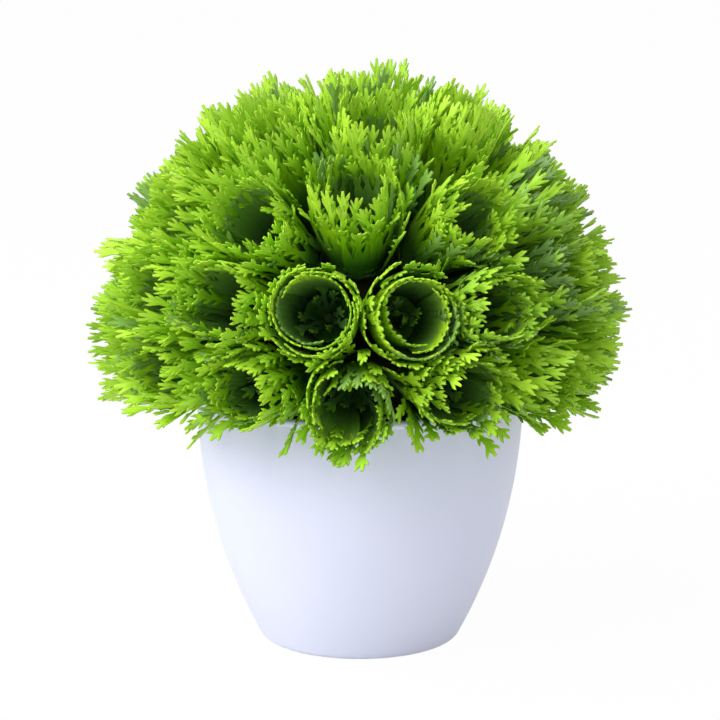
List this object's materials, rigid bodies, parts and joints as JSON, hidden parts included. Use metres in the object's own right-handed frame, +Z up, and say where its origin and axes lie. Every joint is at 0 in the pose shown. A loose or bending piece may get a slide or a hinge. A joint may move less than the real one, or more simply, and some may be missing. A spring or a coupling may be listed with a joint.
{
  "type": "artificial tabletop tree",
  "caption": "Artificial tabletop bush: a bowed white pot, weighted and foam filled, holds a trunk whose round core carries cupped whorls of fingered green leaf sprays on snap-in stems.",
  "frame": {"origin": "centre of the pot's foot ring, on the surface it stands on", "axes": "+Z up the pot's axis, -Y towards the front of the picture, +X to its right"},
  "size_m": [0.1486, 0.1492, 0.162],
  "materials": {
    "pot_plastic": "satin moulded white plastic",
    "cement": "poured grey cement",
    "foam": "dark green floral foam",
    "trunk_plastic": "moulded brown plastic",
    "core_plastic": "moulded dark green plastic",
    "stem_plastic": "moulded green plastic",
    "leaf_plastic": "moulded yellow-green plastic with a waxy sheen"
  },
  "bodies": {
    "potted_base": {"pot": "pot_plastic", "ballast": "cement", "foam_plug": "foam"},
    "trunk": {"trunk": "trunk_plastic"},
    "bush": {"core_lower": "core_plastic", "core_upper": "core_plastic", "stems_crown": "stem_plastic", "stems_upper": "stem_plastic", "stems_shoulder": "stem_plastic", "stems_belt": "stem_plastic", "stems_skirt": "stem_plastic", "outer_whorls_crown": "leaf_plastic", "outer_whorls_upper": "leaf_plastic", "outer_whorls_shoulder": "leaf_plastic", "outer_whorls_belt": "leaf_plastic", "outer_whorls_skirt": "leaf_plastic", "middle_whorls_crown": "leaf_plastic", "middle_whorls_upper": "leaf_plastic", "middle_whorls_shoulder": "leaf_plastic", "middle_whorls_belt": "leaf_plastic", "middle_whorls_skirt": "leaf_plastic", "inner_whorls_crown": "leaf_plastic", "inner_whorls_upper": "leaf_plastic", "inner_whorls_shoulder": "leaf_plastic", "inner_whorls_belt": "leaf_plastic", "inner_whorls_skirt": "leaf_plastic"}
  },
  "joints": [
    {"name": "bush_lift", "type": "slide", "parent": "potted_base", "child": "trunk", "axis": [0, 0, 1], "range_m": [0, 0.06]},
    {"name": "bush_turn", "type": "hinge", "parent": "trunk", "child": "bush", "pos_m": [0, 0, 0.055], "axis": [0, 0, 1], "continuous": true}
  ]
}
